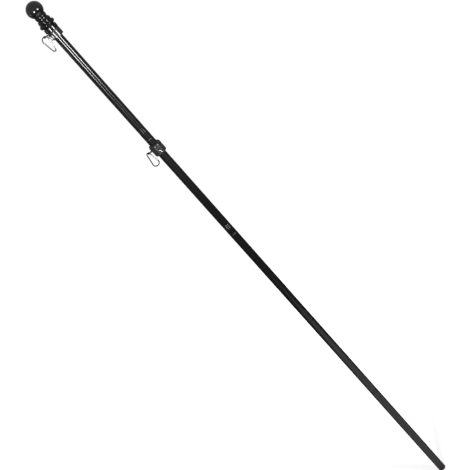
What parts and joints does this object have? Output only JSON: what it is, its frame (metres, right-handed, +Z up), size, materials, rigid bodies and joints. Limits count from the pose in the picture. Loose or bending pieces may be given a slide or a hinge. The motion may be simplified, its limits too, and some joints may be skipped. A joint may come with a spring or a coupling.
{
  "type": "sectional flagpole with swivel clips",
  "caption": "Slim black sectional tube flagpole with a ball finial, swivel rings that carry spring clips for a flag, and a sliding collar held by a thumb screw.",
  "frame": {"origin": "centre of the flat end face of the foot plug", "axes": "+Z up along the pole to the finial, -X towards the lower clip"},
  "size_m": [0.0588, 0.042, 1.8049],
  "materials": {
    "tube_paint": "gloss",
    "coupling_metal": "turned",
    "plug_plastic": "moulded",
    "finial_plastic": "gloss",
    "collar_plastic": "satin",
    "ring_steel": "satin",
    "screw_steel": "bright",
    "clip_plating": "plated"
  },
  "bodies": {
    "pole": {"foot_plug": "plug_plastic", "tube_section_1": "tube_paint", "tube_section_2": "tube_paint", "tube_section_3": "tube_paint", "tube_section_4": "tube_paint", "tube_section_5": "tube_paint", "coupling_1": "coupling_metal", "coupling_2": "coupling_metal", "coupling_3": "coupling_metal", "coupling_4": "coupling_metal", "finial_base": "finial_plastic", "finial_ball": "finial_plastic", "top_lock_collar": "collar_plastic", "top_thumb_screw": "screw_steel"},
    "top_swivel": {"top_swivel_ring": "ring_steel"},
    "top_clip": {"top_clip_body": "clip_plating", "top_clip_rivet": "clip_plating"},
    "top_gate": {"top_clip_gate": "clip_plating"},
    "slider": {"lower_lock_collar": "collar_plastic", "lower_stop_collar": "collar_plastic", "lower_thumb_screw": "screw_steel"},
    "lower_swivel": {"lower_swivel_ring": "ring_steel"},
    "lower_clip": {"lower_clip_body": "clip_plating", "lower_clip_rivet": "clip_plating"},
    "lower_gate": {"lower_clip_gate": "clip_plating"}
  },
  "joints": [
    {"name": "top_ring_turn", "type": "hinge", "parent": "pole", "child": "top_swivel", "pos_m": [0, 0, 1.7216], "axis": [0, 0, 1], "continuous": true},
    {"name": "top_clip_swing", "type": "hinge", "parent": "top_swivel", "child": "top_clip", "pos_m": [-0.02697, -0.00673, 1.7216], "axis": [-0.2419, 0.9703, 0], "range_deg": [-3, 150]},
    {"name": "top_gate_open", "type": "hinge", "parent": "top_clip", "child": "top_gate", "pos_m": [-0.02286, -0.0057, 1.69205], "axis": [0.2419, -0.9703, 0], "range_deg": [0, 26], "stiffness_Nm_per_rad": 0.05, "springref_deg": -28.65},
    {"name": "collar_slide", "type": "slide", "parent": "pole", "child": "slider", "axis": [0, 0, 1], "range_m": [-1.15, 0.28]},
    {"name": "lower_ring_turn", "type": "hinge", "parent": "slider", "child": "lower_swivel", "pos_m": [0, 0, 1.3426], "axis": [0, 0, 1], "continuous": true},
    {"name": "lower_clip_swing", "type": "hinge", "parent": "lower_swivel", "child": "lower_clip", "pos_m": [-0.0278, 0, 1.3426], "axis": [0, 1, 0], "range_deg": [-3, 150]},
    {"name": "lower_gate_open", "type": "hinge", "parent": "lower_clip", "child": "lower_gate", "pos_m": [-0.02305, 0, 1.3376], "axis": [0, 1, 0], "range_deg": [0, 26], "stiffness_Nm_per_rad": 0.05, "springref_deg": -28.65}
  ]
}
